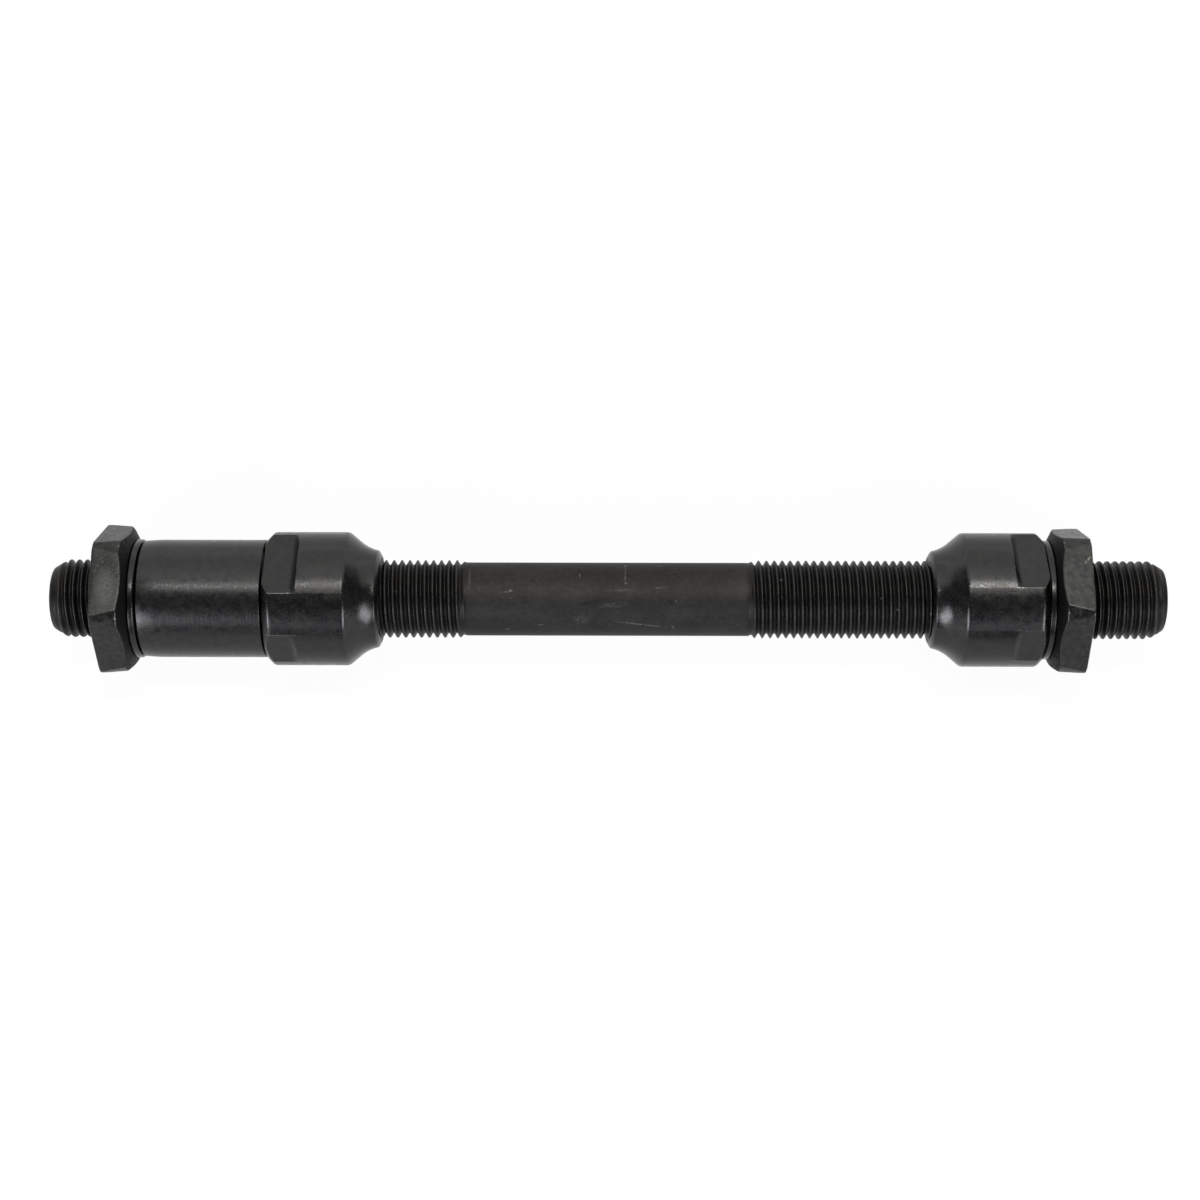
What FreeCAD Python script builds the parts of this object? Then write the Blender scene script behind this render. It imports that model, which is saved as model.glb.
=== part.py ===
"""Bicycle hub axle set for a quick-release rear wheel, in millimetres.

A hollow threaded axle lies along X with its middle at the origin and +Z up.
Each end carries a bearing cone, a washer and a locknut, and the drive side at -X
also has a long spacer between its cone and its washer.
"""

import math
import os

import FreeCAD
import Part

# Axle: a threaded bar with a plain shank in the middle and a bore for the skewer
axle_length = 140.0
thread_diameter = 9.9
shank_diameter = 9.27
shank_length = 35.7
thread_runout = 0.8
lead_length = 1.7
lead_end_diameter = 7.8
skewer_bore_diameter = 5.5
bore_mouth_chamfer = 0.4

# Where the two stacks stand: how far the axle reaches past each locknut
drive_end_reach = 6.1
plain_end_reach = 10.0

# Locknut: a hexagon with a light chamfer outside and a deep one inside
locknut_across_flats = 17.0
locknut_thickness = 4.3
locknut_corner_radius = 1.2
locknut_outer_circle = 18.6
locknut_outer_chamfer_angle = 20.0
locknut_inner_circle = 15.1
locknut_inner_chamfer_angle = 28.0

# Washer and drive-side spacer: plain turned rings
washer_diameter = 15.0
washer_thickness = 0.9
washer_edge_break = 0.12
spacer_diameter = 14.9
spacer_length = 15.9
spacer_edge_break = 0.3

# Bearing cone: a barrel with wrench flats, then a hollow ball race down to the nose
cone_diameter = 16.9
cone_barrel_length = 10.2
cone_end_chamfer = 0.85
cone_nose_diameter = 12.3
cone_nose_bevel = 0.35
cone_nose_land = 0.1
race_flank_angle = 40.0
race_radius = 5.0
race_end_angle = 12.0
wide_flats_across = 14.0
narrow_flats_across = 16.0
flats_length = 4.4
flats_root_radius = 1.2

# Fits on the axle, as radial clearances, and the countersink at a threaded mouth
thread_clearance = 0.05
ring_clearance = 0.1
thread_countersink = 0.45

# How each piece is turned about the axle, in degrees from +Z towards -Y
plain_locknut_turn = -6.0
drive_cone_turn = -24.5
plain_cone_turn = -30.5

# Sizes that follow from the ones above
axle_end = axle_length / 2
thread_radius = thread_diameter / 2
threaded_bore_radius = thread_radius + thread_clearance
ring_bore_radius = thread_radius + ring_clearance

origin = FreeCAD.Vector(0, 0, 0)
along = FreeCAD.Vector(1, 0, 0)
up = FreeCAD.Vector(0, 0, 1)


def spot(x, r):
    """A point of a half section: x along the axle, r out from its axis."""
    return FreeCAD.Vector(x, 0, r)


def turned(edges):
    """The solid that a closed half section makes when it is spun about the axle."""
    return Part.Face(Part.Wire(edges)).revolve(origin, along, 360)


def run_of_lines(points):
    """Straight edges through a row of (x, r) points, left open."""
    spots = [spot(x, r) for x, r in points]
    return [Part.makeLine(a, b) for a, b in zip(spots, spots[1:])]


def closed_lines(points):
    return run_of_lines(points + points[:1])


def axle():
    """Bored bar: lead-in cones at the ends, threads at crest size and a slimmer shank between them."""
    shank_end = shank_length / 2
    bore_radius = skewer_bore_diameter / 2
    half = [
        (shank_end, shank_diameter / 2),
        (shank_end + thread_runout, thread_radius),
        (axle_end - lead_length, thread_radius),
        (axle_end, lead_end_diameter / 2),
        (axle_end, bore_radius + bore_mouth_chamfer),
        (axle_end - bore_mouth_chamfer, bore_radius),
    ]
    other_half = [(-x, r) for x, r in reversed(half)]
    return turned(closed_lines(other_half + half))


def ring(diameter, length, edge_break):
    """Plain turned ring from x = 0, loose on the axle, with its outer edges broken."""
    outer = diameter / 2
    return turned(
        closed_lines(
            [
                (0, ring_bore_radius),
                (0, outer - edge_break),
                (edge_break, outer),
                (length - edge_break, outer),
                (length, outer - edge_break),
                (length, ring_bore_radius),
            ]
        )
    )


def hexagon_bar(across_flats, length, corner_radius):
    """Hexagon bar along +X with one pair of flats level and its six long corners rounded."""
    corner = across_flats / 2 / math.cos(math.radians(30))
    angles = [math.radians(30 + 60 * i) for i in range(7)]
    points = [
        FreeCAD.Vector(0, corner * math.sin(a), corner * math.cos(a)) for a in angles
    ]
    bar = Part.Face(Part.makePolygon(points)).extrude(along * length)
    long_edges = [e for e in bar.Edges if abs(e.tangentAt(e.FirstParameter).x) > 0.9]
    return bar.makeFillet(corner_radius, long_edges)


def locknut():
    """Locknut with its outer face at x = 0: a hexagon bar trimmed by a turned blank."""
    blank = locknut_across_flats / 2 / math.cos(math.radians(30)) + 1
    outer = locknut_outer_circle / 2
    inner = locknut_inner_circle / 2
    outer_fall = (blank - outer) * math.tan(math.radians(locknut_outer_chamfer_angle))
    inner_fall = (blank - inner) * math.tan(math.radians(locknut_inner_chamfer_angle))
    mouth = threaded_bore_radius + thread_countersink
    trim = turned(
        closed_lines(
            [
                (0, mouth),
                (0, outer),
                (outer_fall, blank),
                (locknut_thickness - inner_fall, blank),
                (locknut_thickness, inner),
                (locknut_thickness, mouth),
                (locknut_thickness - thread_countersink, threaded_bore_radius),
                (thread_countersink, threaded_bore_radius),
            ]
        )
    )
    bar = hexagon_bar(locknut_across_flats, locknut_thickness, locknut_corner_radius)
    return bar.common(trim)


def race_section():
    """The ball race in half section: a straight flank, then a hollow arc that runs out to the nose.

    Returns the (x, r) points where the flank starts, where the arc starts, its middle and its end.
    """
    steep = math.radians(race_flank_angle)
    shallow = math.radians(race_end_angle)
    middle = (steep + shallow) / 2

    def along_arc(slope):
        return (
            race_radius * (math.sin(steep) - math.sin(slope)),
            race_radius * (math.cos(slope) - math.cos(steep)),
        )

    drop = cone_diameter / 2 - cone_nose_diameter / 2 - along_arc(shallow)[1]
    start = (cone_barrel_length, cone_diameter / 2)
    join = (start[0] + drop / math.tan(steep), start[1] - drop)
    arc = [(join[0] + along_arc(s)[0], join[1] - along_arc(s)[1]) for s in (middle, shallow)]
    return [start, join] + arc


def flats_cutter(across):
    """Milling cut for one wrench flat that faces +Z, with the cutter's radius at its inner end."""
    level = across / 2
    clear = cone_diameter
    root = flats_length - flats_root_radius
    bend = flats_root_radius * math.sqrt(0.5)
    edges = run_of_lines([(flats_length, level + flats_root_radius), (flats_length, clear)])
    edges += run_of_lines([(flats_length, clear), (-clear, clear), (-clear, level), (root, level)])
    edges.append(
        Part.Arc(
            spot(root, level),
            spot(root + bend, level + flats_root_radius - bend),
            spot(flats_length, level + flats_root_radius),
        ).toShape()
    )
    face = Part.Face(Part.Wire(edges))
    face.translate(FreeCAD.Vector(0, -clear, 0))
    return face.extrude(FreeCAD.Vector(0, 2 * clear, 0))


def cone():
    """Bearing cone with its outer end at x = 0 and its nose towards +X, wide flats facing up and down."""
    outer = cone_diameter / 2
    mouth = threaded_bore_radius + thread_countersink
    start, join, middle, nose = race_section()
    tip = nose[0] + cone_nose_bevel
    edges = run_of_lines(
        [(0, mouth), (0, outer - cone_end_chamfer), (cone_end_chamfer, outer), start, join]
    )
    edges.append(Part.Arc(spot(*join), spot(*middle), spot(*nose)).toShape())
    edges += run_of_lines(
        [
            nose,
            (tip, mouth + cone_nose_land),
            (tip, mouth),
            (tip - thread_countersink, threaded_bore_radius),
            (thread_countersink, threaded_bore_radius),
            (0, mouth),
        ]
    )
    body = turned(edges)
    for across, first in ((wide_flats_across, 0), (narrow_flats_across, 90)):
        for turn in (first, first + 180):
            cutter = flats_cutter(across)
            cutter.rotate(origin, along, turn)
            body = body.cut(cutter)
    return body


def on_drive_side(shape, x, turn=0.0):
    """Puts a piece on the -X end: its outer face at x, turned about the axle."""
    placed = shape.copy()
    placed.rotate(origin, along, turn)
    placed.translate(along * x)
    return placed


def on_plain_side(shape, x, turn=0.0):
    """Puts a piece on the +X end, facing the other way: its outer face at x, turned about the axle."""
    placed = shape.copy()
    placed.rotate(origin, up, 180)
    placed.rotate(origin, along, turn)
    placed.translate(along * x)
    return placed


def assembly():
    """Every piece by name, each stack built inwards from its locknut's outer face."""
    washer = ring(washer_diameter, washer_thickness, washer_edge_break)
    spacer = ring(spacer_diameter, spacer_length, spacer_edge_break)

    drive_face = -axle_end + drive_end_reach
    drive_washer_face = drive_face + locknut_thickness
    drive_spacer_face = drive_washer_face + washer_thickness
    drive_cone_face = drive_spacer_face + spacer_length

    plain_face = axle_end - plain_end_reach
    plain_washer_face = plain_face - locknut_thickness
    plain_cone_face = plain_washer_face - washer_thickness

    return {
        "axle": axle(),
        "drive_locknut": on_drive_side(locknut(), drive_face),
        "drive_washer": on_drive_side(washer, drive_washer_face),
        "drive_spacer": on_drive_side(spacer, drive_spacer_face),
        "drive_cone": on_drive_side(cone(), drive_cone_face, drive_cone_turn),
        "plain_cone": on_plain_side(cone(), plain_cone_face, plain_cone_turn),
        "plain_washer": on_plain_side(washer, plain_washer_face),
        "plain_locknut": on_plain_side(locknut(), plain_face, plain_locknut_turn),
    }


os.makedirs("parts", exist_ok=True)
for name, shape in assembly().items():
    print(name, len(shape.Solids), "solid, valid:", shape.isValid(), "volume:", round(shape.Volume, 1))
    shape.exportStep(f"parts/{name}.step")
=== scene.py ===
import math

import bpy
import numpy as np
from mathutils import Matrix, Vector


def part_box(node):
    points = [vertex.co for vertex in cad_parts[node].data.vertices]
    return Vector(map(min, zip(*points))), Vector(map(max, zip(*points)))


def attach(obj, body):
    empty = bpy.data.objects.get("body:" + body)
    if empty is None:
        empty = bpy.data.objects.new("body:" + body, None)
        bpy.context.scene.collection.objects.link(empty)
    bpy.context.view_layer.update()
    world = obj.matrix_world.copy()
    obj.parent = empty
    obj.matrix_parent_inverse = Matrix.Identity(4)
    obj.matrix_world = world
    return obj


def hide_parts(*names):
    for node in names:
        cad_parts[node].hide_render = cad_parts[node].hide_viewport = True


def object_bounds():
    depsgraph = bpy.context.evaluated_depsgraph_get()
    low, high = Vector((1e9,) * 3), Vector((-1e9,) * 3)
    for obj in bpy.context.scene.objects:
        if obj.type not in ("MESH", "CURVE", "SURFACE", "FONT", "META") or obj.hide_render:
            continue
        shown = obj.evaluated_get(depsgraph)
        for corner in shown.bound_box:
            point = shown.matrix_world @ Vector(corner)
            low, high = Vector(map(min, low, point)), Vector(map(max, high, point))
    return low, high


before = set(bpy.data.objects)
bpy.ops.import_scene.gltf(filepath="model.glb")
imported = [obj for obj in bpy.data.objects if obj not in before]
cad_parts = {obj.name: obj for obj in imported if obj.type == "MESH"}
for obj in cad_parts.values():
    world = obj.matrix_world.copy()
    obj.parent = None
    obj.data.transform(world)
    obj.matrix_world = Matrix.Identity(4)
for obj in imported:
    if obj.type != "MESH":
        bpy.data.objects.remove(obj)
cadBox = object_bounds()
mm = 0.001  # shapes below are in millimetres, the scene is in metres
turn = 2 * math.pi
print("frame loaded:", ", ".join(sorted(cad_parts)))


# lowest and highest corner of a node, in millimetres
def nodeBox(node):
    low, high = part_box(node)
    return np.array(low) / mm, np.array(high) / mm


# a point lies x along the axle, r out from it, and theta round it from +Z towards -Y
def roundAxle(x, r, theta):
    return np.stack(np.broadcast_arrays(x, -r * np.sin(theta), r * np.cos(theta)), axis=-1)


softSteps = 4  # faces over a softened corner
softRows = softSteps + 1


# the inner corners of an open outline are softened: over a cut before and after the corner
# the point follows (1-t)^2 start + 2t(1-t) corner + t^2 end
def softRun(corners, cuts):
    corners = np.asarray(corners, float)
    middle = corners[..., 1:-1, :]
    back = corners[..., :-2, :] - middle
    ahead = corners[..., 2:, :] - middle
    cuts = np.asarray(cuts, float)[..., None]
    start = (middle + cuts * back / np.linalg.norm(back, axis=-1, keepdims=True))[..., None, :]
    end = (middle + cuts * ahead / np.linalg.norm(ahead, axis=-1, keepdims=True))[..., None, :]
    t = np.linspace(0, 1, softRows)[:, None]
    curve = (1 - t) ** 2 * start + 2 * t * (1 - t) * middle[..., None, :] + t**2 * end
    curve = curve.reshape(*corners.shape[:-2], -1, 2)
    return np.concatenate([corners[..., :1, :], curve, corners[..., -1:, :]], axis=-2)


# edge value of each point of softRun: 4t(1-t) across a corner, times that corner's value, which is
# wear and, on the cone's outer end, also a painted highlight
def edgeRun(wear):
    t = np.linspace(0, 1, softRows)
    wornAndSheen = np.asarray(wear, float)[:, None] * 4 * t * (1 - t)
    return np.concatenate([[0], wornAndSheen.ravel(), [0]])


# one outline for each angle, from corners whose x and radius are one number or a number an angle
def outlines(corners, angles):
    spread = [[np.broadcast_to(value, angles) for value in corner] for corner in corners]
    return np.array(spread, float).transpose(2, 0, 1)


# a closed sheet of columns round the axle and rows along the outline: each point joins the next
# row and the next column, the last row joins the first, and the last column joins the first
# again, rowShift rows further on; traits give each point an edge value for wear and painted
# highlight, and a zone value, which is -1 on rougher skin with a painted shade and 1 on polished
# skin
def sheetPiece(name, points, traits, rowShift=0):
    columns, rows = points.shape[:2]
    here = np.arange(columns * rows).reshape(columns, rows)
    beside = np.concatenate([here[1:], np.roll(here[:1], -rowShift, axis=1)])
    quads = np.stack([here, beside, np.roll(beside, -1, 1), np.roll(here, -1, 1)], axis=-1)
    mesh = bpy.data.meshes.new(name)
    mesh.from_pydata((points.reshape(-1, 3) * mm).tolist(), [], quads.reshape(-1, 4).tolist())
    mesh.polygons.foreach_set("use_smooth", np.ones(len(mesh.polygons), bool))
    for trait, values in traits.items():
        spread = np.broadcast_to(values, (columns, rows)).astype(np.float32).ravel()
        mesh.attributes.new(trait, "FLOAT", "POINT").data.foreach_set("value", spread)
    piece = bpy.data.objects.new(name, mesh)
    bpy.context.scene.collection.objects.link(piece)
    piece.modifiers.new("evenNormals", "WEIGHTED_NORMAL")  # keeps the flats flat beside soft edges
    print("made", name, "with", len(mesh.polygons), "faces")
    return piece


# the piece stands for one node: it rides on that node's body and takes its slot and finish
def standFor(piece, node, slotName):
    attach(piece, node)
    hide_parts(node)
    piece.data.materials.append(finish[slotName])


# a node is added with its settings, and its inputs are set or, where a socket is given, linked
def addNode(tree, kind, inputs=None, **settings):
    made = tree.nodes.new(kind)
    for key, value in settings.items():
        setattr(made, key, value)
    for key, value in (inputs or {}).items():
        if isinstance(value, bpy.types.NodeSocket):
            tree.links.new(value, made.inputs[key])
        else:
            made.inputs[key].default_value = value
    return made


# noise over the object's own coordinates: so many blobs a metre, times the scale along each axis
def noise(tree, place, blobs, detail=3.0, scale=None):
    if scale:
        place = addNode(tree, "ShaderNodeMapping", {"Vector": place, "Scale": scale}).outputs[0]
    inputs = {"Vector": place, "Scale": blobs, "Detail": detail}
    return addNode(tree, "ShaderNodeTexNoise", inputs).outputs["Fac"]


# straight line from low to high, held at its ends
def span(tree, value, low, high, toLow=0.0, toHigh=1.0):
    inputs = {"Value": value, "From Min": low, "From Max": high, "To Min": toLow, "To Max": toHigh}
    return addNode(tree, "ShaderNodeMapRange", inputs).outputs["Result"]


# one step of arithmetic on numbers or sockets
def maths(tree, operation, *values):
    return addNode(tree, "ShaderNodeMath", dict(enumerate(values)), operation=operation).outputs[0]


# numbers of a colour get their alpha, and a socket stays as it is
def asColour(colour):
    return colour if isinstance(colour, bpy.types.NodeSocket) else (*colour, 1)


# first colour plus a share of the way to the second
def blend(tree, share, first, second):
    inputs = {0: share, 6: asColour(first), 7: asColour(second)}
    return addNode(tree, "ShaderNodeMix", inputs, data_type="RGBA").outputs[2]


mark = {
    "halfHeight": 1.5,  # of its ellipsoid, in millimetres
    "solid": 0.4,  # part of the way from its middle to its skin over which it keeps its full share
    "blobs": 2600.0,  # a metre, of the noise that breaks it up
    "detail": 4.0,
    "breaks": (0.36, 0.52),  # levels of that noise between which it comes in
}


# a mark is an ellipsoid at its place on the surface, as long and wide as given and lying at a
# slant to the axle: its share is full round the middle and falls in a straight line to 0 at the
# ellipsoid's skin, and a noise breaks it up
def markShare(tree, place, breakUp, radius, x, angle, slant, length, width, share):
    angle = math.radians(angle)
    along = Matrix.Rotation(angle, 3, "X") @ Matrix.Rotation(math.radians(slant), 3, "Z")
    middle = Vector((x, -radius * math.sin(angle), radius * math.cos(angle)))
    inputs = {
        "Vector": place,
        "Location": middle * mm,
        "Rotation": along.to_euler(),
        "Scale": (length / 2 * mm, width / 2 * mm, mark["halfHeight"] * mm),
    }
    local = addNode(tree, "ShaderNodeMapping", inputs, vector_type="TEXTURE").outputs[0]
    away = addNode(tree, "ShaderNodeVectorMath", {0: local}, operation="LENGTH").outputs["Value"]
    return maths(tree, "MULTIPLY", span(tree, away, mark["solid"], 1.0, share, 0.0), breakUp)


# the marks of a finish are laid over its colour one after another
def withMarks(tree, place, colour, radius, marks):
    breakUp = span(tree, noise(tree, place, mark["blobs"], mark["detail"]), *mark["breaks"])
    for shade, *shape in marks:
        colour = blend(tree, markShare(tree, place, breakUp, radius, *shape), colour, shade)
    return colour


smear, scratch = (0.018, 0.017, 0.017), (0.2, 0.19, 0.18)  # shades of marks
scuff, mottle = (0.085, 0.083, 0.085), (0.1, 0.1, 0.093)
oxide = {
    "axle_steel": {
        "cool": (0.023, 0.0221, 0.0219),
        "warm": (0.027, 0.0252, 0.024),
        "clouds": 900.0,  # blobs a metre
        "specks": 3400.0,
        "rough": (0.42, 0.52),
        "grain": 0.008,  # heights in millimetres
        "lines": 0.0,
        "fleck": (0.14, 0.13, 0.12),
        "fleckFrom": 0.73,  # level of the specks
        # lighter colour of the worn crests, which also paints their highlight
        "bareAndSheen": (0.054, 0.051, 0.049),
        "radius": 4.9,  # at which the marks lie
        "marks": [  # shade, x, angle round the axle, slant, length, width and share
            (scratch, 21.8, -20, 20, 0.8, 0.3, 0.9),
            (scratch, 34.2, 12, 0, 0.35, 0.35, 0.9),
            (scratch, 36.2, 29, 0, 0.4, 0.4, 0.9),
            (scratch, 40.4, 35, 60, 0.6, 0.3, 0.8),
            (scratch, -26.5, 2, 0, 0.35, 0.35, 0.8),
        ],
        "matte": {
            "halfLength": 17.7,
            "fade": 0.3,
            "rough": 0.58,
            "smudges": 330.0,
            "smudgeDetail": 4.0,
            "smudgeScale": (0.6, 1.0, 1.0),
            "grains": 1900.0,
            "grainShare": 0.8,
            "levels": (0.74, 1.06),  # of smudge plus grain, at the dark and the light shade
            "dark": (0.0315, 0.0302, 0.0296),
            "light": (0.0415, 0.0396, 0.0387),
            "radius": 4.635,
            "marks": [
                (scratch, 2.3, -28, 90, 3.4, 0.2, 0.5),
                (scratch, 2.3, -50, 0, 0.5, 0.7, 0.6),
                (scratch, 2.35, -12, 0, 0.35, 0.5, 0.45),
                (scratch, 4.3, 57, -9, 7.8, 0.3, 0.5),
                (scratch, 8.3, 63, -60, 0.9, 0.25, 0.5),
                (scratch, -12.0, 1, 0, 0.5, 0.4, 0.5),
                (scratch, -3.4, -25, 90, 0.8, 0.25, 0.5),
                (scratch, -8.3, 58, 0, 1.0, 0.3, 0.4),
                (scratch, -12.5, 69, 30, 0.8, 0.4, 0.35),
                (scratch, 8.6, 17, 0, 0.35, 0.35, 0.7),
                (scuff, 0.9, 23, 5, 4.6, 0.9, 0.5),
                (scuff, -3.2, 48, 0, 2.6, 1.5, 0.45),
                (scuff, -12.6, 3, 4, 2.2, 0.3, 0.6),
                (scuff, 1.8, 0, 4, 3.6, 0.4, 0.5),
                (scuff, 6.6, -4, 3, 2.4, 0.4, 0.5),
                (scuff, -17.2, -20, 90, 5.0, 0.5, 0.4),
                (scuff, 6.6, -50, 0, 1.4, 0.8, 0.5),
                (smear, -2.1, 19, 12, 4.6, 0.35, 0.8),
                (smear, 7.9, 18, -30, 1.9, 0.35, 0.9),
                (smear, 12.9, 43, -3, 4.4, 0.25, 0.7),
                (smear, -10.2, 36, 8, 1.2, 0.3, 0.5),
            ],
        },
    },
    "cone_steel": {
        "cool": (0.04, 0.04, 0.043),
        "warm": (0.046, 0.045, 0.043),
        "clouds": 900.0,
        "specks": 3600.0,
        "rough": (0.25, 0.32),
        "grain": 0.004,
        "lines": 0.004,
        "fleck": (0.09, 0.088, 0.085),
        "fleckFrom": 0.74,
        # bare-steel colour of worn edges, which also paints a highlight on the outer end's chamfer
        "bareAndSheen": (0.2, 0.195, 0.19),
        "roughAndShaded": (0.1, (0.008, 0.0078, 0.0078)),  # change of roughness, and the painted shade in the flats' roots
        "polish": -0.03,
    },
    "locknut_steel": {
        "cool": (0.034, 0.035, 0.036),
        "warm": (0.049, 0.049, 0.0465),
        "clouds": 1300.0,
        "specks": 2600.0,
        "rough": (0.3, 0.4),
        "grain": 0.01,
        "lines": 0.0,
        "fleck": (0.07, 0.07, 0.067),
        "fleckFrom": 0.66,
        "bareAndSheen": (0.22, 0.215, 0.21),
        # change of roughness, and a painted shade on the inner chamfer, the inner face and the bore
        "roughAndShaded": (0.25, (0.016, 0.0148, 0.0144)),
        "radius": 8.5,
        "marks": [
            (smear, -62.0, -2, 0, 8.0, 11.0, 0.75),
            (mottle, -61.9, 6, 0, 3.4, 6.4, 0.5),
            (scratch, 59.4, -21, 50, 1.2, 0.35, 0.9),
            (scratch, 59.0, -18, 0, 0.4, 0.4, 0.7),
        ],
    },
    "washer_steel": {
        "cool": (0.036, 0.036, 0.038),
        "warm": (0.041, 0.04, 0.039),
        "clouds": 700.0,
        "specks": 3000.0,
        "rough": (0.22, 0.28),
        "grain": 0.003,
        "lines": 0.002,
        "fleck": (0.1, 0.1, 0.1),
        "fleckFrom": 0.74,
        "bareAndSheen": (0.12, 0.12, 0.12),
    },
    "spacer_steel": {
        "cool": (0.039, 0.039, 0.043),
        "warm": (0.047, 0.046, 0.044),
        "clouds": 1200.0,
        "specks": 3600.0,
        "rough": (0.27, 0.33),
        "grain": 0.006,
        "lines": 0.009,
        "fleck": (0.09, 0.09, 0.088),
        "fleckFrom": 0.72,
        "bareAndSheen": (0.16, 0.155, 0.15),
    },
}


# the shank is matte: within its length the colour goes between two shades by a slow smudge plus
# a share of a grain and takes the marks, and the roughness becomes one high value
def matteShank(tree, place, colour, rough, matte):
    along = addNode(tree, "ShaderNodeSeparateXYZ", {"Vector": place}).outputs["X"]
    half = matte["halfLength"] * mm
    full = half - matte["fade"] * mm
    share = span(tree, maths(tree, "ABSOLUTE", along), full, half, 1.0, 0.0)
    smudge = noise(tree, place, matte["smudges"], matte["smudgeDetail"], matte["smudgeScale"])
    grain = noise(tree, place, matte["grains"])
    grain = maths(tree, "MULTIPLY_ADD", grain, matte["grainShare"], smudge)
    shade = blend(tree, span(tree, grain, *matte["levels"]), matte["dark"], matte["light"])
    shade = withMarks(tree, place, shade, matte["radius"], matte["marks"])
    inputs = {0: share, 2: rough, 3: matte["rough"]}
    rough = addNode(tree, "ShaderNodeMix", inputs).outputs[0]
    return blend(tree, share, colour, shade), rough


skin = {
    "tint": (0.88, 0.88, 0.88, 1),  # darkens grazing reflections
    "cloudDetail": 4.0,
    "speckDetail": 2.0,
    "cloudShade": (0.36, 0.64),  # levels of the clouds between which shade and roughness change
    "cloudRough": (0.35, 0.65),
    "speckRough": (0.3, 0.7, -0.04, 0.05),  # two levels, and the change of roughness at each
    "fleckStep": 0.07,
    "roughShadeZone": (-0.2, -0.8),  # where a zone value starts to give roughness and painted shade, and where it gives them in full
    "polishedZone": (0.2, 0.8),
    "speckWear": 0.9,
    "bareAndSheenFrom": (1.12, 1.42),  # levels of the edge value, wear plus painted highlight
    "turned": 4200.0,  # turning lines
    "turnedDetail": 2.0,
    "turnedScale": (1.0, 0.03, 0.03),
}


# black oxide on steel: clouds move the colour between two shades and the roughness between two
# values, specks change the roughness further, leave light flecks above a level and give the grain
# of the bump beside the turning lines, low zones are rougher and painted darker as shade, polished
# zones are smoother, and a bare-steel colour for wear and painted highlight shows where an edge
# value plus a share of the specks passes a level
def oxideSteel(name):
    spec = oxide[name]
    material = bpy.data.materials.new(name)
    material.use_nodes = True
    tree = material.node_tree
    shader = tree.nodes["Principled BSDF"]
    shader.inputs["Metallic"].default_value = 1.0
    shader.inputs["Specular Tint"].default_value = skin["tint"]
    place = addNode(tree, "ShaderNodeTexCoord").outputs["Object"]
    clouds = noise(tree, place, spec["clouds"], skin["cloudDetail"])
    specks = noise(tree, place, spec["specks"], skin["speckDetail"])
    colour = blend(tree, span(tree, clouds, *skin["cloudShade"]), spec["cool"], spec["warm"])
    rough = span(tree, clouds, *skin["cloudRough"], *spec["rough"])
    rough = maths(tree, "ADD", rough, span(tree, specks, *skin["speckRough"]))
    if "matte" in spec:
        colour, rough = matteShank(tree, place, colour, rough, spec["matte"])
    fleckFrom = spec["fleckFrom"]
    flecks = span(tree, specks, fleckFrom, fleckFrom + skin["fleckStep"])
    colour = blend(tree, flecks, colour, spec["fleck"])
    if "marks" in spec:
        colour = withMarks(tree, place, colour, spec["radius"], spec["marks"])
    # low zones get more roughness, and their colour goes towards a painted shade
    if "roughAndShaded" in spec:
        change, shade = spec["roughAndShaded"]
        zone = addNode(tree, "ShaderNodeAttribute", attribute_name="zone").outputs["Fac"]
        roughAndShaded = span(tree, zone, *skin["roughShadeZone"])
        rough = maths(tree, "MULTIPLY_ADD", roughAndShaded, change, rough)
        colour = blend(tree, roughAndShaded, colour, shade)
        if "polish" in spec:
            polished = span(tree, zone, *skin["polishedZone"])
            rough = maths(tree, "MULTIPLY_ADD", polished, spec["polish"], rough)
    edge = addNode(tree, "ShaderNodeAttribute", attribute_name="edge").outputs["Fac"]
    wornAndSheen = maths(tree, "MULTIPLY_ADD", specks, skin["speckWear"], edge)
    colour = blend(tree, span(tree, wornAndSheen, *skin["bareAndSheenFrom"]), colour, spec["bareAndSheen"])
    lines = noise(tree, place, skin["turned"], skin["turnedDetail"], skin["turnedScale"])
    lines = maths(tree, "MULTIPLY", lines, spec["lines"])
    height = maths(tree, "MULTIPLY_ADD", specks, spec["grain"], lines)
    bump = addNode(tree, "ShaderNodeBump", {"Height": height, "Strength": 1.0, "Distance": mm})
    tree.links.new(colour, shader.inputs["Base Color"])
    tree.links.new(rough, shader.inputs["Roughness"])
    tree.links.new(bump.outputs["Normal"], shader.inputs["Normal"])
    return material


finish = {name: oxideSteel(name) for name in oxide}
print("finishes:", ", ".join(finish))

thread = {
    "pitch": 1.0,
    "depth": 0.61,
    "crestFlat": 0.11,  # shares of a pitch
    "rootFlat": 0.16,
    "seenFrom": -76.0,  # angle at which the crest places are given, in degrees from +Z towards -Y
    "driveCrest": 0.0,  # x of one crest at that angle, in each threaded stretch
    "plainCrest": 0.15,
    "play": 0.06,  # gap between the axle's thread and a threaded bore
    "boreCrest": 4.46,
    "boreRows": 16,  # a pitch
}
axleHigh = nodeBox("axle")[1]
crestRadius = axleHigh[1]


# thread radius: the phase is x over the pitch less the part of a turn, a crest lies where it is
# whole, and from the crest's flat to the root's flat the radius falls in a straight line
def threadRadius(x, theta):
    crestAt = np.where(x < 0, thread["driveCrest"], thread["plainCrest"])
    phase = (x - crestAt) / thread["pitch"] - (theta - math.radians(thread["seenFrom"])) / turn
    away = np.abs(phase - np.round(phase))
    crestHalf, rootHalf = thread["crestFlat"] / 2, thread["rootFlat"] / 2
    fall = np.clip((away - crestHalf) / (0.5 - crestHalf - rootHalf), 0, 1)
    return crestRadius - thread["depth"] * fall


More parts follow.
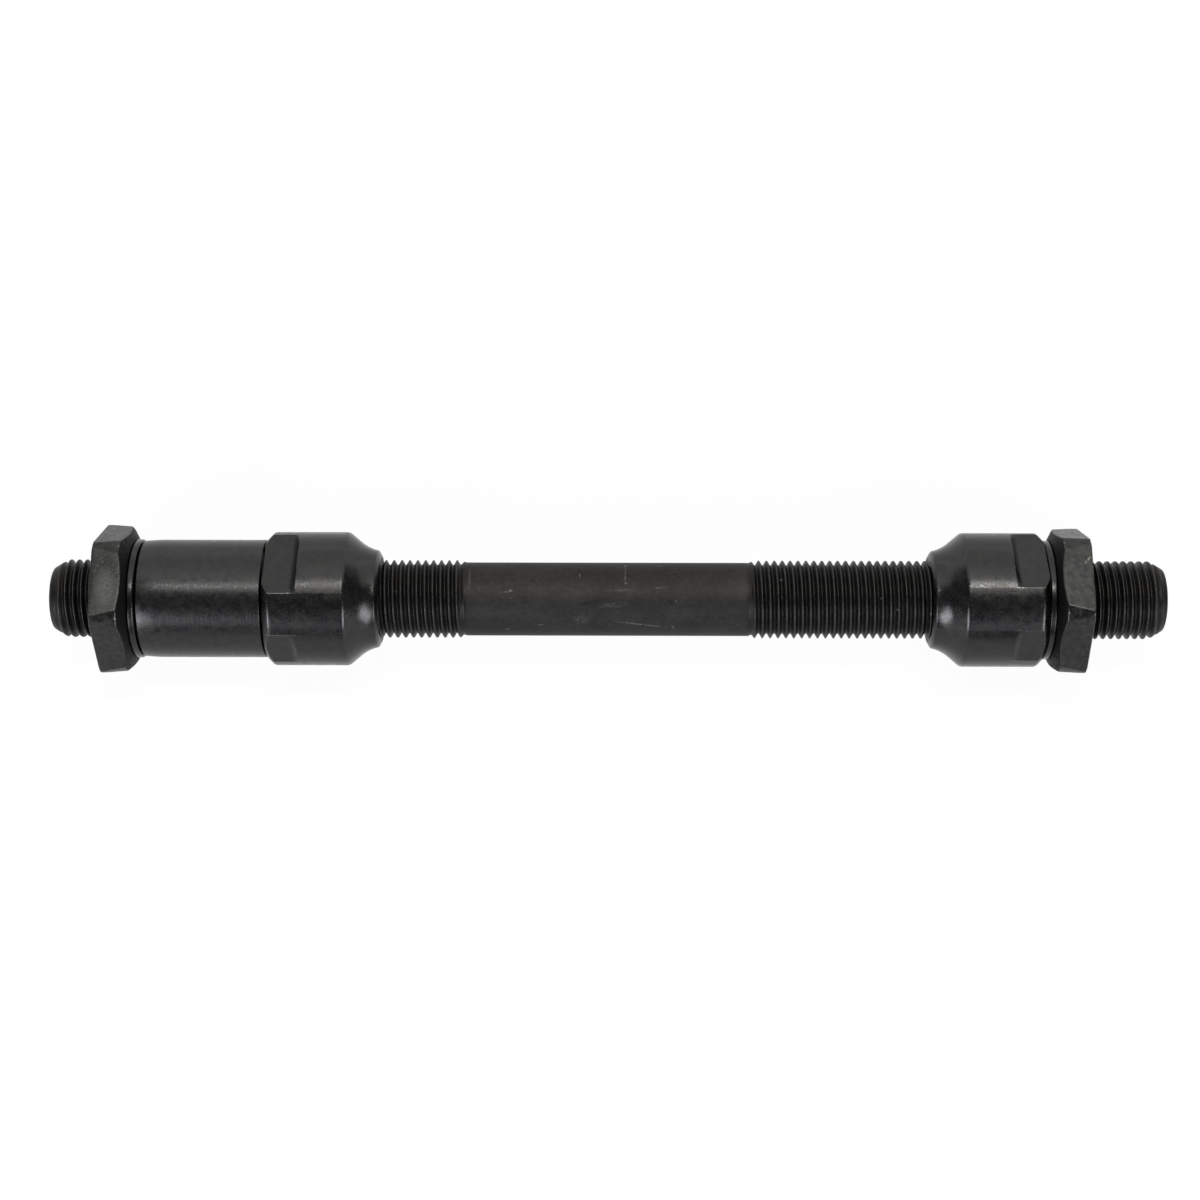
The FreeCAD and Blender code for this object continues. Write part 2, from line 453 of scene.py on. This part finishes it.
axle = {
    "shankRadius": 4.635,
    "shankLength": 35.7,
    "rise": 0.8,  # over which the bar grows from the shank to the crests
    "runout": 1.3,  # over which the thread fades into the shank
    "threadInto": 0.3,  # how far into the shank it reaches
    "leadLength": 1.7,
    "leadEndRadius": 3.9,
    "boreRadius": 2.75,
    "boreMouth": 0.4,
    "edge": 0.15,
    "soft": 0.3,  # at the outside's shallow corners
    "columns": 96,
    "rowsAPitch": (0.0, 0.07, 0.24, 0.41, 0.5, 0.59, 0.76, 0.93),  # parts of a pitch from a crest
    "threadRows": (1.2, 0.8),  # how far they run into the shank, and stop short of the end
    "shankRows": 24,
    "boreNear": 0.6,  # how far inside the mouth the bore's rows get close
    "boreRows": 9,  # from the bore's middle to there
    "endStep": 0.09,
    "wearAndSheenDepth": 0.12,  # below a crest, where its wear and painted highlight end
}


# the axle's outline runs out of the bore, over one end, along the outside and back over the other
# end; its places are lengths along that outline, and each row of the sheet is a helix: at column j
# it lies j parts of the way from its own place to the place one pitch of rows further on, so that
# rows follow the thread, and the radius is the lesser of the outline's and the thread's, where the
# thread fades into the shank by 3f^2 - 2f^3
def axlePoints():
    end = axleHigh[0]
    bore, mouth = axle["boreRadius"], axle["boreMouth"]
    shankEnd = axle["shankLength"] / 2
    half = [
        (shankEnd, axle["shankRadius"]),
        (shankEnd + axle["rise"], crestRadius),
        (end - axle["leadLength"], crestRadius),
        (end, axle["leadEndRadius"]),
        (end, bore + mouth),
        (end - mouth, bore),
    ]
    other = [(-x, r) for x, r in reversed(half)]
    corners = [(0, bore)] + other + half + [(0, bore)]
    cuts = [axle["edge"]] * 3 + [axle["soft"]] * 3
    outline = softRun(corners, cuts + cuts[::-1])
    length = np.concatenate([[0], np.cumsum(np.linalg.norm(np.diff(outline, axis=0), axis=1))])
    total = length[-1]

    outside = slice(np.argmin(outline[:, 0]) + 1, np.argmax(outline[:, 0]) + 1)

    # place on the outline of an x of the outside
    def lengthAt(x):
        return np.interp(x, outline[outside, 0], length[outside])

    pitch = thread["pitch"]
    phases = np.array(axle["rowsAPitch"])
    intoShank, fromEnd = axle["threadRows"]
    threadStart, threadStop = end - fromEnd, shankEnd - intoShank
    turnsIn = np.arange(int(threadStop), int(threadStart) + 1)[:, None]
    drive = -(turnsIn * pitch) + thread["driveCrest"] + phases * pitch
    plain = turnsIn * pitch + thread["plainCrest"] + phases * pitch
    drive = np.sort(drive.ravel())
    plain = plain.ravel()
    drive = drive[drive > -threadStart]
    plain = plain[plain < threadStart]
    shank = np.linspace(drive[-1], plain[0], axle["shankRows"])[1:-1]
    endSpan = lengthAt(drive[0]), lengthAt(plain[-1])
    nearEnd = end - mouth - axle["boreNear"]  # how far the bore runs with wide rows
    steps = int(round((endSpan[0] - nearEnd) / axle["endStep"]))
    driveEnd = np.linspace(nearEnd, endSpan[0], steps, endpoint=False)
    plainEnd = total - np.linspace(nearEnd, total - endSpan[1], steps, endpoint=False)[::-1]
    boreOut = np.linspace(0, nearEnd, axle["boreRows"])[:-1]
    boreBack = total - boreOut[:0:-1]
    places = np.concatenate(
        [boreOut, driveEnd, lengthAt(drive), lengthAt(shank), lengthAt(plain), plainEnd, boreBack]
    )
    rowsAPitch = len(phases)
    nextTurn = np.concatenate([places[rowsAPitch:], places[:rowsAPitch] + total])
    part = (np.arange(axle["columns"]) / axle["columns"])[:, None]
    at = (places + (nextTurn - places) * part) % total
    x = np.interp(at, length, outline[:, 0])
    r = np.interp(at, length, outline[:, 1])
    theta = math.radians(thread["seenFrom"]) + part * turn
    fade = np.clip((np.abs(x) - shankEnd + axle["threadInto"]) / axle["runout"], 0, 1)
    fade = fade * fade * (3 - 2 * fade)
    threaded = threadRadius(x, theta)
    cut = axle["shankRadius"] + fade * (threaded - axle["shankRadius"])
    # the crests get an edge value, for wear and a painted highlight along the crest lines
    onCrest = np.clip(1 - (crestRadius - threaded) / axle["wearAndSheenDepth"], 0, 1)
    wear = fade * onCrest * (r > bore + mouth)
    return roundAxle(x, np.minimum(r, cut), theta), {"edge": wear}, rowsAPitch


axlePiece = sheetPiece("axle_bar", *axlePoints())
standFor(axlePiece, "axle", "axle_steel")


# a threaded bore is the axle's thread with some play, cut off at the bore's own crests, and opened
# at both mouths by a 45 degree countersink
def boreRun(x, theta, depth, length, mouth):
    grown = np.maximum(threadRadius(x, theta) + thread["play"], thread["boreCrest"])
    return np.maximum(grown, np.maximum(mouth - depth, mouth - (length - depth)))


# the outline of a piece is carried round the axle from its outer face: side is +1 where the piece
# reaches towards +X and -1 where it is turned end for end
def carriedRound(outline, theta, face, side, turned):
    angle = math.radians(turned) + side * theta
    return roundAxle(face + side * outline[..., 0], outline[..., 1], angle)


# adds the threaded bore to an outline that runs from one mouth to the other
def withBore(outline, theta, face, side, turned):
    length = outline[0, -1, 0]
    mouth = outline[0, -1, 1]
    rows = int(length / thread["pitch"] * thread["boreRows"])
    depth = np.linspace(length, 0, rows + 2)[1:-1]
    r = boreRun(face + side * depth, math.radians(turned) + side * theta, depth, length, mouth)
    wall = np.stack(np.broadcast_arrays(depth, r), axis=-1)
    return np.concatenate([outline, wall], axis=1)


locknut = {
    "thickness": 4.3,
    "halfFlats": 8.5,
    "corner": 1.2,
    "outerCircle": 9.3,
    "outerAngle": 20.0,
    "outerBreak": 0.1,
    "innerCircle": 7.55,
    "innerAngle": 28.0,
    "mouth": 5.45,
    "land": 0.2,
    "edges": (0.1, 0.06, 0.06, 0.2, 0.15, 0.1),  # from the outer mouth to the inner one
    "wear": (0.0, 0.0, 0.8, 0.6, 0.2, 0.0),
    "cornerWear": (0.8, 0.1),  # at the two ends of a corner and between them
    "cornerSpread": 0.04,  # radians over which that wear fades
    "innerCorner": 9.28,  # the corners fall to this radius at the inner chamfer
    "closeFrom": 0.33,  # radians from a flat's middle, from where the columns lie closer
    "columns": (6, 17),  # in half a flat, before and after that
    "sideRows": 7,
    "driveTurn": 0.0,
    "plainTurn": -6.0,
}


# hexagon: half the flats over the cosine of the angle from a flat's middle, and near a corner the
# far side of the corner's circle; each angle then has its own outline, cut by the two chamfer cones
# and by a slow cone between them that takes the corners down, and the outer edge is broken where
# its cone doesn't reach
def locknutPoints(face, side, turned):
    flats, corner = locknut["halfFlats"], locknut["corner"]
    halfSide = turn / 12  # angle from a flat's middle to a corner
    centre = (flats - corner) / math.cos(halfSide)
    flatEnd = math.atan(centre * math.sin(halfSide) / flats)
    closeFrom, (wide, close) = locknut["closeFrom"], locknut["columns"]
    half = [np.linspace(0, closeFrom, wide), np.linspace(closeFrom, halfSide, close)[1:]]
    half = np.concatenate(half)
    fromFlat = np.concatenate([-half[:0:-1], half[:-1]])
    theta = (fromFlat + np.arange(6)[:, None] * turn / 6).reshape(-1, 1)
    fromCorner = halfSide - np.abs(np.tile(fromFlat, 6))[:, None]
    rounded = np.sqrt(np.maximum(corner**2 - (centre * np.sin(fromCorner)) ** 2, 0))
    rounded = centre * np.cos(fromCorner) + rounded
    straight = flats / np.cos(halfSide - fromCorner)
    hexagon = np.where(fromCorner < halfSide - flatEnd, rounded, straight)[:, 0]

    thick, mouth = locknut["thickness"], locknut["mouth"]
    outerFall = (hexagon - locknut["outerCircle"]) * math.tan(math.radians(locknut["outerAngle"]))
    outerFall = np.maximum(outerFall, locknut["outerBreak"])
    outerEdge = np.minimum(locknut["outerCircle"], hexagon - locknut["outerBreak"])
    innerSlope = math.tan(math.radians(locknut["innerAngle"]))
    innerHexagon = np.minimum(hexagon, locknut["innerCorner"])
    innerFall = (innerHexagon - locknut["innerCircle"]) * innerSlope
    land = mouth + locknut["land"]
    corners = [
        (0, mouth),
        (0, land),
        (0, outerEdge),
        (outerFall, hexagon),
        (thick - innerFall, innerHexagon),
        (thick, locknut["innerCircle"]),
        (thick, land),
        (thick, mouth),
    ]
    outline = softRun(outlines(corners, len(hexagon)), locknut["edges"])
    part = np.linspace(0, 1, locknut["sideRows"] + 2)[1:-1, None]
    sideAt = 1 + 3 * softRows  # the hexagon's side comes after the first row and three soft corners
    outerEnd, innerEnd = outline[:, sideAt - 1 : sideAt], outline[:, sideAt : sideAt + 1]
    between = outerEnd + (innerEnd - outerEnd) * part
    tapered = innerHexagon.max() + (hexagon.max() - innerHexagon.max()) * (1 - part[:, 0])
    between[..., 1] = np.minimum(hexagon[:, None], tapered)
    outline = np.concatenate([outline[:, :sideAt], between, outline[:, sideAt:]], axis=1)
    wear = edgeRun(locknut["wear"])
    wear = np.concatenate([wear[:sideAt], np.zeros(len(part)), wear[sideAt:]])
    halfSoft = softRows // 2 + 1
    chamferAt = sideAt + len(part) + halfSoft  # from the middle of the inner chamfer's soft edge
    atEnds, amid = locknut["cornerWear"]
    stretches = [sideAt - softRows, softRows, len(part), halfSoft, len(wear) - chamferAt]
    sides = np.repeat([0, atEnds, amid, atEnds, 0], stretches)
    wear = np.maximum(wear, sides * np.exp(-((fromCorner / locknut["cornerSpread"]) ** 2)))
    outline = withBore(outline, theta, face, side, turned)
    wear = np.pad(wear, [(0, 0), (0, outline.shape[1] - wear.shape[1])])
    zone = np.zeros(outline.shape[1])
    zone[chamferAt:] = -1  # the inner chamfer, the inner face and the bore get more roughness and a painted shade
    return carriedRound(outline, theta, face, side, turned), {"edge": wear, "zone": zone}


driveNut = sheetPiece(
    "drive_locknut_hex", *locknutPoints(nodeBox("drive_locknut")[0][0], 1, locknut["driveTurn"])
)
plainNut = sheetPiece(
    "plain_locknut_hex", *locknutPoints(nodeBox("plain_locknut")[1][0], -1, locknut["plainTurn"])
)
standFor(driveNut, "drive_locknut", "locknut_steel")
standFor(plainNut, "plain_locknut", "locknut_steel")

washer = {
    "boreRadius": 5.05,
    "chamfer": (0.16, 0.16),  # along the axle and down
    "crown": (0.4, 0.0),  # the wall's fall at the outer end: its length and its depth
    "softs": (0.1, 0.1, 0.1, 0.02, 0.1, 0.1, 0.1),
    "wear": 0.3,
    "columns": 128,
}
spacer = {
    "boreRadius": 5.05,
    "chamfer": (0.3, 0.45),
    "crown": (2.0, 0.12),
    "softs": (0.1, 0.1, 0.1, 0.8, 0.1, 0.1, 0.1),
    "wear": 0.6,
    "columns": 128,
}


# turned ring: one soft outline of bore, end faces, chamfers and outer wall, the same at every angle
def ringPoints(node, spec):
    low, high = nodeBox(node)
    start, end, outer = low[0], high[0], high[2]
    middle, bore = (start + end) / 2, spec["boreRadius"]
    inwards, down = spec["chamfer"]
    crownLength, crownFall = spec["crown"]
    corners = [
        (middle, bore),
        (start, bore),
        (start, outer - down),
        (start + inwards, outer - crownFall),
        (start + crownLength, outer),
        (end - inwards, outer),
        (end, outer - down),
        (end, bore),
        (middle, bore),
    ]
    outline = softRun(corners, spec["softs"])[:-1]
    wear = edgeRun((0, 0, spec["wear"], 0, spec["wear"], 0, 0))[:-1]
    theta = np.linspace(0, turn, spec["columns"], endpoint=False)[:, None]
    return roundAxle(outline[:, 0], outline[:, 1], theta), {"edge": wear}


driveWasher = sheetPiece("drive_washer_ring", *ringPoints("drive_washer", washer))
plainWasher = sheetPiece("plain_washer_ring", *ringPoints("plain_washer", washer))
spacerTube = sheetPiece("drive_spacer_tube", *ringPoints("drive_spacer", spacer))
standFor(driveWasher, "drive_washer", "washer_steel")
standFor(plainWasher, "plain_washer", "washer_steel")
standFor(spacerTube, "drive_spacer", "spacer_steel")

cone = {
    "radius": 8.45,
    "barrelLength": 10.2,
    "endChamfer": 0.85,
    "endSoft": 0.3,  # share of the chamfer over which its corners are softened
    "endLength": 1.3,  # from the outer face, with the chamfer in it
    "noseRadius": 6.15,
    "noseBevel": 0.35,
    "noseLand": 0.1,
    "noseEdges": (0.1, 0.05),
    "flankAngle": 40.0,
    "raceRadius": 5.0,
    "raceEnd": 12.0,
    "wideFlats": 7.0,  # half of each pair, measured across
    "narrowFlats": 8.0,
    "flatsLength": 4.4,
    "flatsRoot": 1.2,
    "rootAngles": (0, 12, 24, 36, 48, 60, 72, 82),  # degrees on the cutter's arc
    "rootShade": 1.3,  # share of painted shade in a root: this times the sine of that angle, and 1 at most
    "rootLeast": 0.01,  # depth of cut from which a root counts
    "mouth": 5.45,
    "land": 0.2,
    "landSoft": 0.1,
    "shoulderEdge": 0.3,
    "shoulderRun": 0.4,  # from the flats to the barrel's first row
    "flatsEdge": 0.05,
    "foldHalf": 0.5,  # degrees to each side of a flat's long edge
    "columns": (10, 10, 7),  # in a quarter turn: deep flat, barrel and shallow flat
    "raceRows": 12,
    "wear": (0.7, 0.6, 0.5, 0.2, 0.8),  # outer end (wear and a painted highlight on its chamfer), flats' lips, shoulder, race's end and nose
    "foldWear": 1.15,
    "driveTurn": -24.5,
    "plainTurn": -30.5,
}


# cone: a barrel, a straight flank, a hollow arc of the race's radius, a bevelled nose; at an angle
# where a wrench flat is milled the radius is the flat's distance over the cosine from its middle,
# and at the flat's inner end that distance rises on the cutter's arc
def conePoints(face, side, turned):
    radius, wide, narrow = cone["radius"], cone["wideFlats"], cone["narrowFlats"]
    wideEnd, narrowStart = math.acos(wide / radius), turn / 4 - math.acos(narrow / radius)
    beside = math.radians(cone["foldHalf"])
    wideColumns, barrelColumns, narrowColumns = cone["columns"]
    quarter = np.concatenate(
        [
            np.linspace(0, wideEnd - beside, wideColumns),
            [wideEnd],
            np.linspace(wideEnd + beside, narrowStart - beside, barrelColumns),
            [narrowStart],
            np.linspace(narrowStart + beside, turn / 4, narrowColumns),
        ]
    )
    half = np.concatenate([quarter, turn / 2 - quarter[-2::-1]])
    theta = np.concatenate([half, turn / 2 + half[1:-1]])
    fromWide = np.abs((theta + turn / 4) % (turn / 2) - turn / 4)
    fromNarrow = turn / 4 - fromWide
    onWide, onNarrow = fromWide < wideEnd, fromWide > narrowStart
    level = np.where(onWide, wide, np.where(onNarrow, narrow, radius))
    lean = np.where(onWide, np.cos(fromWide), np.where(onNarrow, np.cos(fromNarrow), 1.0))
    flat = level / lean

    chamfer, breakEdge = radius - cone["endChamfer"], cone["flatsEdge"]
    mouth = cone["mouth"]
    chamferEnd = np.maximum(flat - chamfer, breakEdge)
    startCorners = [
        (0, mouth),
        (0, mouth + cone["land"]),
        (0, np.minimum(chamfer, flat - breakEdge)),
        (chamferEnd, flat),
        (cone["endLength"], flat),
    ]
    soft = chamferEnd * cone["endSoft"]
    softs = np.stack([np.full_like(flat, cone["landSoft"]), soft, soft], axis=-1)
    start = softRun(outlines(startCorners, len(flat)), softs)

    root = cone["flatsRoot"]
    swing = np.radians(cone["rootAngles"])
    rootX = cone["flatsLength"] - root + root * np.sin(swing)
    rise = root * (1 - np.cos(swing))
    rootR = np.minimum((level[:, None] + rise) / lean[:, None], radius)
    lipX = cone["flatsLength"] + np.array([0.0, breakEdge])
    lipR = [np.maximum(rootR[:, -1], radius - breakEdge), np.full_like(flat, radius)]
    stepX = np.concatenate([rootX, lipX])
    stepR = np.concatenate([rootR, np.stack(lipR, axis=1)], axis=1)
    step = np.stack(np.broadcast_arrays(stepX, stepR), axis=-1)

    steep, shallow = math.radians(cone["flankAngle"]), math.radians(cone["raceEnd"])
    race = cone["raceRadius"]
    slope = np.linspace(steep, shallow, cone["raceRows"])
    fallX = race * (math.sin(steep) - np.sin(slope))
    fallR = race * (np.cos(slope) - math.cos(steep))
    drop = radius - cone["noseRadius"] - fallR[-1]
    joinX, joinR = cone["barrelLength"] + drop / math.tan(steep), radius - drop
    arc = np.stack([joinX + fallX, joinR - fallR], axis=-1)
    tip = arc[-1, 0] + cone["noseBevel"]
    barrelStart = cone["flatsLength"] + cone["shoulderRun"]
    shoulder = softRun(
        [(barrelStart, radius), (cone["barrelLength"], radius), (joinX, joinR)],
        [cone["shoulderEdge"]],
    )
    nose = softRun(
        [arc[-2], arc[-1], (tip, mouth + cone["noseLand"]), (tip, mouth)],
        cone["noseEdges"],
    )
    around = np.concatenate([shoulder, arc[1:-1], nose[1:]])
    around = np.broadcast_to(around, (len(theta), *around.shape))
    outline = np.concatenate([start, step, around], axis=1)

    stepAt = start.shape[1]  # first row of the flats' roots, and of what follows
    rootEnd = stepAt + len(swing)
    aroundAt = stepAt + step.shape[1]
    raceAt = aroundAt + len(shoulder) // 2
    noseAt = aroundAt + len(shoulder) + len(arc) - 2
    endWearAndSheen, lipWear, shoulderWear, raceWear, noseWear = cone["wear"]
    # both corners of the outer end's chamfer get an edge value for wear and a painted highlight
    ends = np.broadcast_to(edgeRun([0, endWearAndSheen, endWearAndSheen]), (len(theta), stepAt))
    lip = np.outer(onWide, np.repeat([0, lipWear], [len(swing), len(lipX)]))
    plain = [edgeRun([shoulderWear]), np.zeros(len(arc) - 2), edgeRun([raceWear, noseWear])[1:]]
    plain = np.broadcast_to(np.concatenate(plain), around.shape[:2])
    wear = np.concatenate([ends, lip, plain], axis=1)
    foldAway = np.minimum(np.abs(fromWide - wideEnd), np.abs(fromWide - narrowStart))
    fold = cone["foldWear"] * np.clip(1 - foldAway / beside, 0, 1)
    onFlats = slice(stepAt - 1 - softRows, rootEnd)  # from the chamfer's inner edge to the roots
    wear[:, onFlats] = np.maximum(wear[:, onFlats], fold[:, None])
    theta = theta[:, None]
    outline = withBore(outline, theta, face, side, turned)
    wear = np.pad(wear, [(0, 0), (0, outline.shape[1] - wear.shape[1])])
    zone = np.zeros(outline.shape[:2])
    zone[:, raceAt:noseAt] = 1  # from the shoulder to the nose the race is polished
    # in the roots of the deep flats the skin gets rougher and a painted shade, growing up the
    # cutter's arc
    inRoot = onWide[:, None] & (rootR < radius - cone["rootLeast"])
    zone[:, stepAt:rootEnd] -= inRoot * np.minimum(cone["rootShade"] * np.sin(swing), 1)
    return carriedRound(outline, theta, face, side, turned), {"edge": wear, "zone": zone}


driveCone = sheetPiece(
    "drive_cone_race", *conePoints(nodeBox("drive_cone")[0][0], 1, cone["driveTurn"])
)
plainCone = sheetPiece(
    "plain_cone_race", *conePoints(nodeBox("plain_cone")[1][0], -1, cone["plainTurn"])
)
standFor(driveCone, "drive_cone", "cone_steel")
standFor(plainCone, "plain_cone", "cone_steel")

studio = {
    "elevation": 76.0,  # camera, degrees above the horizon
    "distance": 0.2932,  # from the axle's centre line
    "footX": 0.0026,  # camera's place along the axle
    "aimX": -0.0009,
    "nod": 0.02,  # degrees
    "roll": 0.115,
    "lens": 69.4,
    "sensor": 36.0,
    "nearest": 0.01,
    # floor: radius and height along its sweep, gap below the lowest corner, and its white
    "sweep": [(0.5, 0.0), (4.0, 0.0), (4.8, 0.07), (5.3, 0.24), (5.5, 0.62)],
    "floorSides": 64,
    "floorGap": 0.0001,
    "floorWhite": (0.9, 0.9, 0.9, 1),
    "floorGlow": 0.95,
    "world": 0.145,
}
scene = bpy.context.scene
scene.view_settings.view_transform = "Standard"

lensData = bpy.data.cameras.new("camera")
lensData.lens = studio["lens"]
lensData.sensor_width = studio["sensor"]
lensData.clip_start = studio["nearest"]
eye = bpy.data.objects.new("camera", lensData)
scene.collection.objects.link(eye)
elevation, distance = math.radians(studio["elevation"]), studio["distance"]
eye.location = (studio["footX"], -distance * math.cos(elevation), distance * math.sin(elevation))
eye.rotation_mode = "ZYX"  # tilt first, then yaw and roll about the camera's own axes
tilt = turn / 4 - elevation - math.radians(studio["nod"])
yaw = math.atan((studio["footX"] - studio["aimX"]) / distance)
eye.rotation_euler = (tilt, yaw, math.radians(studio["roll"]))
scene.camera = eye


# area light of a given brightness, aimed at the axle: it leans by its tilt from straight above
# towards +Y and by its sweep towards +X, and its watts are pi times its area times the brightness
def panel(name, tilt, sweep, distance, width, depth, brightness, colour, shiftX):
    data = bpy.data.lights.new(name, "AREA")
    data.shape = "RECTANGLE"
    data.size, data.size_y = width, depth
    data.energy = math.pi * width * depth * brightness
    data.color = colour
    lean, aside = math.radians(tilt), math.tan(math.radians(sweep))
    towards = Vector((aside, math.sin(lean), math.cos(lean))).normalized()
    lamp = bpy.data.objects.new(name, data)
    scene.collection.objects.link(lamp)
    lamp.location = towards * distance + Vector((shiftX, 0, 0))
    lamp.rotation_euler = towards.to_track_quat("Z", "Y").to_euler()


panels = [  # name, tilt, sweep, distance, width, depth, brightness, colour and shift along X
    ("backCard", 55, 0, 0.8, 2.2, 1.04, 0.95, (1.0, 1.0, 0.98), 0.0),
    ("nearCard", 32, 0, 0.8, 1.2, 0.3, 0.3, (1.0, 1.0, 0.97), 0.0),
    ("leftStrip", 9.5, 0, 0.7, 0.22, 0.026, 38.0, (1.0, 0.99, 0.95), -0.12),
    ("rightStrip", 11, 0, 0.7, 0.22, 0.026, 76.0, (1.0, 0.99, 0.93), 0.1),
    ("coolCard", -61, 0, 0.7, 1.0, 0.13, 0.95, (0.97, 0.9, 1.0), 0.0),
    ("leftBox", -57, -38, 0.8, 0.42, 0.34, 8.8, (0.94, 0.95, 1.0), 0.0),
    ("rightBox", -55, 39, 0.8, 0.42, 0.38, 7.0, (0.94, 0.95, 1.0), 0.0),
]
for row in panels:
    panel(*row)

world = bpy.data.worlds.new("studio")
scene.world = world
world.use_nodes = True
sky = world.node_tree.nodes["Background"]
sky.inputs["Color"].default_value = (1, 1, 1, 1)
sky.inputs["Strength"].default_value = studio["world"]


# floor: a white disc under the lowest corner whose far edge sweeps up as a backdrop; where the
# camera, a gloss or glass sees it, most of its white comes from a glow, and the rest is lit, so
# that the object's shadow stays
def whiteFloor():
    reach, rise = np.array(studio["sweep"]).T
    angle = np.linspace(0, turn, studio["floorSides"], endpoint=False)[:, None]
    height = cadBox[0][2] - studio["floorGap"] + rise
    height = np.broadcast_to(height, (len(angle), len(reach)))
    points = np.stack([reach * np.cos(angle), reach * np.sin(angle), height], axis=-1)
    here = np.arange(points[..., 0].size).reshape(height.shape)
    beside = np.roll(here, -1, axis=0)
    quads = np.stack([here[:, :-1], here[:, 1:], beside[:, 1:], beside[:, :-1]], axis=-1)
    faces = quads.reshape(-1, 4).tolist() + [here[:, 0].tolist()]
    mesh = bpy.data.meshes.new("floor")
    mesh.from_pydata(points.reshape(-1, 3).tolist(), [], faces)
    floor = bpy.data.objects.new("floor", mesh)
    scene.collection.objects.link(floor)
    material = bpy.data.materials.new("white_floor")
    material.use_nodes = True
    tree = material.node_tree
    tree.nodes.remove(tree.nodes["Principled BSDF"])
    lit = addNode(tree, "ShaderNodeBsdfDiffuse", {"Color": studio["floorWhite"]})
    glow = addNode(tree, "ShaderNodeEmission", {"Color": (1, 1, 1, 1), "Strength": 1.0})
    path = addNode(tree, "ShaderNodeLightPath").outputs
    seen = maths(tree, "MAXIMUM", path["Is Camera Ray"], path["Is Glossy Ray"])
    seen = maths(tree, "MAXIMUM", seen, path["Is Transmission Ray"])
    share = maths(tree, "MULTIPLY", seen, studio["floorGlow"])
    inputs = {0: share, 1: lit.outputs[0], 2: glow.outputs[0]}
    mix = addNode(tree, "ShaderNodeMixShader", inputs)
    tree.links.new(mix.outputs[0], tree.nodes["Material Output"].inputs["Surface"])
    mesh.materials.append(material)


whiteFloor()
print("studio set: camera, seven panels, world and floor")
